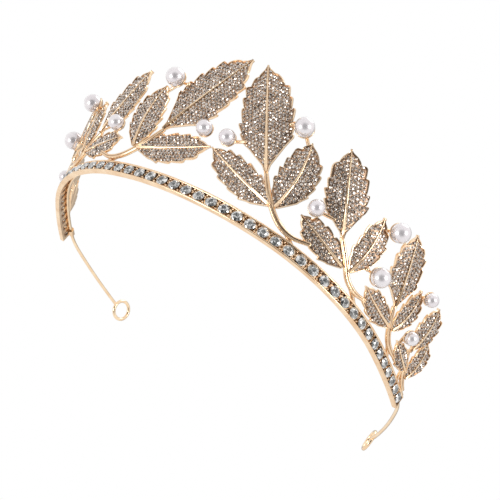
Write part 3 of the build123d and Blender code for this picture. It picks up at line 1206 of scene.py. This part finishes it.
        # The paved stones' facets get painted lightness from the leaf's seed: painted glints and dark
        # reflections.
        both_sides(f"{node}_pave", scattered(*pave_shape(), centres, axes, sizes), [looks.pave],
                   Shading.FLAT, None, self.seed)
        spots = centres + axes[:, 0] * (sizes * 1.12)[:, None] + axes[:, 2] * 0.10
        both_sides(f"{node}_grains", scattered(*grain_shape(), spots, axes, self.grain_radius),
                   [looks.bead], Shading.SMOOTH)


def pave_shape(sides: int = 8) -> tuple[Array, list[Array]]:
    """Small stone of radius one: a wall sunk in the bed, sloping crown facets and a flat table.

    Args:
        sides: Sides of the stone.

    Returns:
        Its points and its faces.
    """
    points = np.concatenate([turned([(0.92, -0.25), (1.0, 0.22), (0.56, 0.58)], sides),
                             [[0.0, 0.0, 0.62]]])
    around = np.arange(sides)
    table = np.stack([around, (around + 1) % sides, np.full(sides, sides)], -1) + 2 * sides
    return points, [grid_faces(3, sides), table, around[None, ::-1]]


def grain_shape(sides: int = 6) -> tuple[Array, list[Array]]:
    """Small bead of radius one: a dome on its flat foot.

    Args:
        sides: Sides of the bead.

    Returns:
        Its points and its faces.
    """
    around = np.arange(sides)[None]
    return (turned([(0.9, -0.8), (1.0, 0.1), (0.6, 0.8)], sides),
            [grid_faces(3, sides), around + 2 * sides, around[:, ::-1]])


def grooved(shell: Shell, sides: int, depth: float, width: float = 0.38) -> Shell:
    """Press a groove into the front of a rod: each point moves towards its ring's centre by a
    share that falls off as a bell curve about the front.

    Args:
        shell: The rod.
        sides: Points round it.
        depth: Share that the deepest point moves by.
        width: Width of the bell curve, in radians.

    Returns:
        The rod, with the groove's faces under finish number 1, which takes the darker gold with painted
        shade.
    """
    body = shell.points[:-2].reshape(-1, sides, 3)
    press = depth * np.exp(-(((turns(sides) - math.pi / 2) / width) ** 2))
    centre = body.mean(1, keepdims=True)
    moved = centre + (body - centre) * (1 - press)[None, :, None]
    (quads, _), caps = shell.faces
    sunk = np.abs(np.arange(len(quads)) % sides + 0.5 - sides / 4) < 1.1
    return Shell(np.concatenate([moved.reshape(-1, 3), shell.points[-2:]]),
                 [(quads[~sunk], 0), (quads[sunk], 1), caps])


@dataclass
class Sprig:
    """One sprig: its stem, the foot it stands on, and three leaves."""

    name: str
    stem: list[tuple[float, float]]
    foot: tuple[tuple[float, float], tuple[float, float]]
    leaves: list[Leaf]
    radius: float = 0.9
    sides: int = 24
    groove_depth: float = 0.34
    foot_radius: float = 0.65
    sink: float = 0.9
    lift: float = 0.12
    foot_inset: float = 0.8
    foot_bend: float = 0.25

    def stalks(self) -> Shell:
        """Stem and foot: tapered rods, the stem with a groove down its front.

        Returns:
            Both as one surface.
        """
        path = smooth_path(np.stack([PLAN.fan(*spot, self.lift - self.sink) for spot in self.stem]))
        share = np.linspace(0, 1, len(path))
        swell = np.sin(math.pi * np.clip(share * 1.15, 0, 1)) ** 0.7
        face = PLAN.outward(np.linspace(self.stem[0][0], self.stem[-1][0], len(path)), PLAN.fan_lean)
        stem = rod(path, self.radius * (0.74 + 0.26 * swell), face, self.sides)
        start, land = self.foot
        top = PLAN.fan(*start, -self.sink)
        base = PLAN.section(land[0], self.foot_inset, PLAN.band_height)
        leg = smooth_path(np.stack([top, (top + base) / 2 + UP * self.foot_bend, base - UP * 0.1]), 8)
        size = self.foot_radius * np.linspace(1.15, 0.9, len(leg))
        return Shell.joined([grooved(stem, self.sides, self.groove_depth),
                             rod(leg, size, PLAN.outward(start[0]))])

    def build(self, looks: Finishes) -> None:
        """Make the stem and the leaves, on both sides.

        Args:
            looks: The materials.
        """
        # The stem's groove takes the darker gold with painted shade.
        both_sides(f"{self.name}_grooved_stem", self.stalks(), [looks.stem, looks.groove],
                   Shading.SMOOTH, f"{self.name}_stem")
        for leaf in self.leaves:
            leaf.build(self.name, looks)


# ---------------------------------------------------------------- pearls


@dataclass
class Pearl:
    """One pearl in its cup, with the peg that holds it to a leaf."""

    name: str
    spot: tuple[float, float]
    diameter: float
    hold: tuple[float, float]
    prongs: tuple[tuple[float, float], ...] = ()
    set_in: float = 0.35
    cup_gap: float = 0.03
    cup_wall: float = 0.4
    cup_latitude: float = -32.0
    peg_radius: float = 0.6
    peg_reach: float = 0.45
    prong_radius: float = 0.42
    leaf_depth: float = 0.7

    @property
    def face(self) -> Array:
        """Direction that the pearl faces."""
        return PLAN.outward(self.spot[0], PLAN.fan_lean)

    @property
    def centre(self) -> Array:
        """The pearl's middle."""
        return PLAN.fan(*self.spot, self.diameter / 2 - self.set_in)

    @property
    def outer(self) -> float:
        """Radius of the cup's outside."""
        return self.diameter / 2 + self.cup_gap + self.cup_wall

    def gem(self) -> Shell:
        """The pearl: a sphere of latitude and longitude."""
        return ball(self.centre, self.diameter / 2, self.face, 30, 60)

    def dish(self) -> Shell:
        """A shallow dish: circles about the pearl's axis, out from the pole along the outer
        sphere, over a round lip, and back down the inner sphere.

        Returns:
            The dish.
        """
        inner, half = self.outer - self.cup_wall, self.cup_wall / 2
        middle = inner + half
        lip = math.radians(self.cup_latitude)
        out = np.linspace(-math.pi / 2 + 0.08, lip, 12)
        turn = np.linspace(0, math.pi, 7)[1:-1]
        radius = np.concatenate([np.full(12, self.outer), middle + half * np.cos(turn), np.full(12, inner)])
        latitude = np.concatenate([out, lip + half * np.sin(turn) / middle, out[::-1]])
        around = turns(48)[:, None]
        side = unit(np.cross(self.face, UP))
        ring = np.cos(around) * side + np.sin(around) * np.cross(self.face, side)
        level = (radius * np.cos(latitude))[:, None, None] * ring
        return tube_shell(self.centre + level + (radius * np.sin(latitude))[:, None, None] * self.face)

    def peg(self) -> Shell:
        """A tapered rod from the back of the cup to a point beyond the leaf's hold.

        Returns:
            The peg.
        """
        back = self.centre - self.face * (self.outer - 0.1)
        past = [h + self.peg_reach * (h - s) for h, s in zip(self.hold, self.spot)]
        to = PLAN.fan(*past, -self.leaf_depth)
        path = smooth_path(np.stack([back, (back + to) / 2 - self.face * 0.25, to]), 6)
        return rod(path, self.peg_radius * np.linspace(1.0, 0.85, len(path)), self.face)

    def prong(self, spot: tuple[float, float]) -> list[Shell]:
        """A thin bent rod from the cup's side, with a ball on its end.

        Args:
            spot: Where the ball is on the fan.

        Returns:
            The rod and the ball.
        """
        end = PLAN.fan(*spot, self.set_in)
        start = self.centre - self.face * self.outer * 0.62 + unit(end - self.centre) * self.outer * 0.55
        bent = smooth_path(np.stack([start, (start + end) / 2 - self.face * 0.1, end]), 5)
        return [rod(bent, np.full(len(bent), self.prong_radius), self.face, 10),
                ball(end, self.prong_radius * 1.6, self.face, 9, 14)]

    def holder(self) -> Shell:
        """The cup with its peg and prongs."""
        prongs = [part for spot in self.prongs for part in self.prong(spot)]
        return Shell.joined([self.dish(), self.peg()] + prongs)


SPRIGS = [
    Sprig("front", [(18, 13), (21.4, 8.6), (25, 4.9), (29.6, 1.9), (34.4, 1.1), (39.6, 2.6)],
          ((27.6, 3.1), (35.6, 0)),
          [Leaf("main", (18.0, 13.0), (2.3, 42.8), 16.1, 0.0, 101),
           Leaf("inner", (24.0, 5.2), (0.35, 12.5), 10.0, 0.5, 102),
           Leaf("outer", (25.6, 5.4), (24.3, 27.4), 12.0, -1.5, 103)]),
    Sprig("shoulder", [(45.5, 10.2), (50.4, 6), (54.6, 2.6), (58.8, 1.6), (63.2, 2.4)],
          ((54, 3), (61.6, 0)),
          [Leaf("main", (45.5, 10.2), (33.3, 32.4), 12.8, 0.0, 104),
           Leaf("inner", (50.8, 3.9), (32.8, 8.0), 8.4, 0.0, 105),
           Leaf("outer", (53.2, 4.4), (50.8, 23.0), 8.8, -1.2, 106, True)]),
    Sprig("side", [(71.6, 8.4), (75.6, 4.4), (79.6, 1.9), (84, 1.2), (88.6, 1.5)],
          ((78.4, 2.5), (85.6, 0)),
          [Leaf("main", (71.6, 8.4), (60.4, 27.3), 11.2, -0.3, 107),
           Leaf("inner", (75.6, 4.0), (59.9, 5.3), 7.4, 0.5, 108),
           Leaf("outer", (77.0, 3.9), (73.8, 18.3), 7.6, -1.6, 109, True)]),
    Sprig("end", [(89.5, 6.6), (94.2, 3.2), (98.4, 1.0), (102.6, 0.2)],
          ((93, 4), (97.6, 0)),
          [Leaf("main", (89.5, 6.6), (83.7, 21.4), 9.6, -1.5, 110),
           Leaf("inner", (95.6, 2.8), (82.2, 4.4), 5.6, 0.3, 111),
           Leaf("outer", (97.8, 1.6), (92.3, 13.4), 8.0, -1.8, 112)]),
]

PEARLS = [
    Pearl("front_inner", (3.8, 16.5), 5.0, (6.8, 17.8)),
    Pearl("front_outer", (20.7, 29.6), 6.0, (24.0, 26.0), ((16.9, 29.0),)),
    Pearl("shoulder_inner", (35.1, 11.8), 5.0, (39.0, 12.6)),
    Pearl("shoulder_outer", (55.6, 22.8), 6.0, (52.2, 20.4)),
    Pearl("side_inner", (60.0, 9.6), 6.0, (64.6, 12.2), ((56.5, 8.8),)),
    Pearl("side_outer", (77.0, 19.2), 4.4, (74.6, 16.6)),
    Pearl("end", (83.2, 8.0), 4.4, (84.4, 4.4)),
]


@dataclass
class Pearls:
    """All the pearls and their cups."""

    pearls: list[Pearl]

    def build(self, looks: Finishes) -> None:
        """Make each pearl, and one piece of cups, pegs and prongs for each side.

        Args:
            looks: The materials.
        """
        for pearl in self.pearls:
            both_sides(f"{pearl.name}_lustrous_pearl", pearl.gem(), [looks.pearl],
                       Shading.SMOOTH, f"{pearl.name}_pearl")
        cups = Shell.joined([pearl.holder() for pearl in self.pearls])
        both_sides("cups_and_pegs", cups, [looks.stem], Shading.CREASED, "pearl_cups")


# ---------------------------------------------------------------- studio


@dataclass
class Studio:
    """Pale floor, soft light, white surround and the camera."""

    floor_size: float = 3.0
    camera_place: tuple[float, float, float] = (0.1454, -0.2228, -0.1336)
    forward: tuple[float, float, float] = (-0.4139, 0.7917, 0.4493)
    roll: float = 38.0
    focal: float = 73.4
    aim: tuple[float, float, float] = (0.0, 0.03, 0.02)
    brightness: float = 0.98
    dark_sides: tuple = (((0.414, -0.792, -0.449), 0.62, 0.97, 0.13), ((0.0, 0.88, 0.47), 0.55, 0.98, 0.5))

    def floor(self) -> None:
        """A pale floor that is clear from below."""
        half = self.floor_size / 2
        mesh = bpy.data.meshes.new("floor")
        mesh.from_pydata([(-half, -half, 0), (half, -half, 0), (half, half, 0), (-half, half, 0)], [],
                         [(0, 1, 2, 3)])
        made = bpy.data.objects.new("floor", mesh)
        bpy.context.scene.collection.objects.link(made)
        pale, net, shader = blank("pale_floor")
        net.feed(shader, {"Base Color": (0.85, 0.85, 0.85, 1.0), "Roughness": 0.7})
        back = net.add("ShaderNodeNewGeometry").outputs["Backfacing"]
        seen = net.add("ShaderNodeLightPath").outputs["Is Camera Ray"]
        front = net.add("ShaderNodeMath", {0: seen, 1: back}, operation="SUBTRACT", use_clamp=True)
        clear = net.add("ShaderNodeBsdfTransparent")
        mixed = net.add("ShaderNodeMixShader", {0: front.outputs["Value"], 1: clear.outputs["BSDF"],
                                                2: shader.outputs["BSDF"]})
        net.feed(pale.node_tree.nodes["Material Output"], {"Surface": mixed.outputs["Shader"]})
        mesh.materials.append(pale)

    def surround(self) -> None:
        """White to the camera; to the tiara, a bright room with a darker side in front and behind."""
        world = bpy.data.worlds.new("surround")
        bpy.context.scene.world = world
        world.use_nodes = True
        net = Net(world.node_tree)
        world.node_tree.nodes.clear()
        way = net.add("ShaderNodeTexCoord").outputs["Generated"]
        tones = []
        for side, wide, full, depth in self.dark_sides:
            facing = net.add("ShaderNodeVectorMath", {0: way, 1: side}, operation="DOT_PRODUCT")
            tones.append(net.span(facing.outputs["Value"], wide, full, 1.0, depth,
                                  interpolation_type="SMOOTHSTEP"))
        lit = net.maths("MULTIPLY", net.maths("MULTIPLY", *tones), self.brightness)
        seen = net.add("ShaderNodeLightPath").outputs["Is Camera Ray"]
        plain = net.add("ShaderNodeBackground", {"Color": (1, 1, 1, 1), "Strength": 1.0})
        soft = net.add("ShaderNodeBackground", {"Color": (1.0, 0.99, 0.985, 1.0), "Strength": lit})
        mixed = net.add("ShaderNodeMixShader", {0: seen, 1: soft.outputs[0], 2: plain.outputs[0]})
        net.add("ShaderNodeOutputWorld", {"Surface": mixed.outputs["Shader"]})

    def lamp(self, name: str, place: tuple[float, float, float], size: float, power: float) -> None:
        """One soft box aimed at the middle of the tiara.

        Args:
            name: Its name.
            place: Where it hangs, in metres.
            size: Its diameter.
            power: Its power in watts.
        """
        light = bpy.data.lights.new(name, "AREA")
        light.shape, light.size, light.energy = "DISK", size, power
        made = bpy.data.objects.new(name, light)
        made.location = place
        made.rotation_euler = (Vector(self.aim) - Vector(place)).to_track_quat("-Z", "Y").to_euler()
        bpy.context.scene.collection.objects.link(made)

    def camera(self) -> None:
        """The camera, rolled about its own axis."""
        ahead = unit(np.array(self.forward))
        level = unit(np.cross(ahead, UP))
        down = np.cross(ahead, level)
        turn = math.radians(self.roll)
        right = math.cos(turn) * level - math.sin(turn) * down
        below = math.sin(turn) * level + math.cos(turn) * down
        pose = np.eye(4)
        pose[:3] = np.stack([right, -below, -ahead, self.camera_place], 1)
        lens = bpy.data.cameras.new("camera")
        lens.lens, lens.sensor_width = self.focal, 36.0
        lens.clip_start, lens.clip_end = 0.01, 20.0
        made = bpy.data.objects.new("camera", lens)
        made.matrix_world = Matrix(pose.tolist())
        bpy.context.scene.collection.objects.link(made)
        bpy.context.scene.camera = made

    def build(self) -> None:
        """Set up the floor, the lights and the camera."""
        self.floor()
        self.surround()
        self.lamp("left_box", (-0.24, -0.40, -0.48), 0.30, 1.4)
        self.lamp("right_box", (0.62, -0.28, 0.10), 0.30, 1.6)
        self.lamp("top_box", (0.0, 0.0, 0.9), 0.6, 2.0)
        self.camera()
        bpy.context.scene.view_settings.view_transform = "Standard"


def main() -> None:
    """Build the tiara's sub-assemblies in order and set up the studio."""
    logging.basicConfig(level=logging.INFO, format="%(name)s %(message)s")
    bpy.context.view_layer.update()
    looks = Finishes()
    Band().build(looks)
    HeadbandWire().build(looks)
    for sprig in SPRIGS:
        sprig.build(looks)
    Pearls(PEARLS).build(looks)
    Studio().build()


if __name__ == "__main__":
    main()
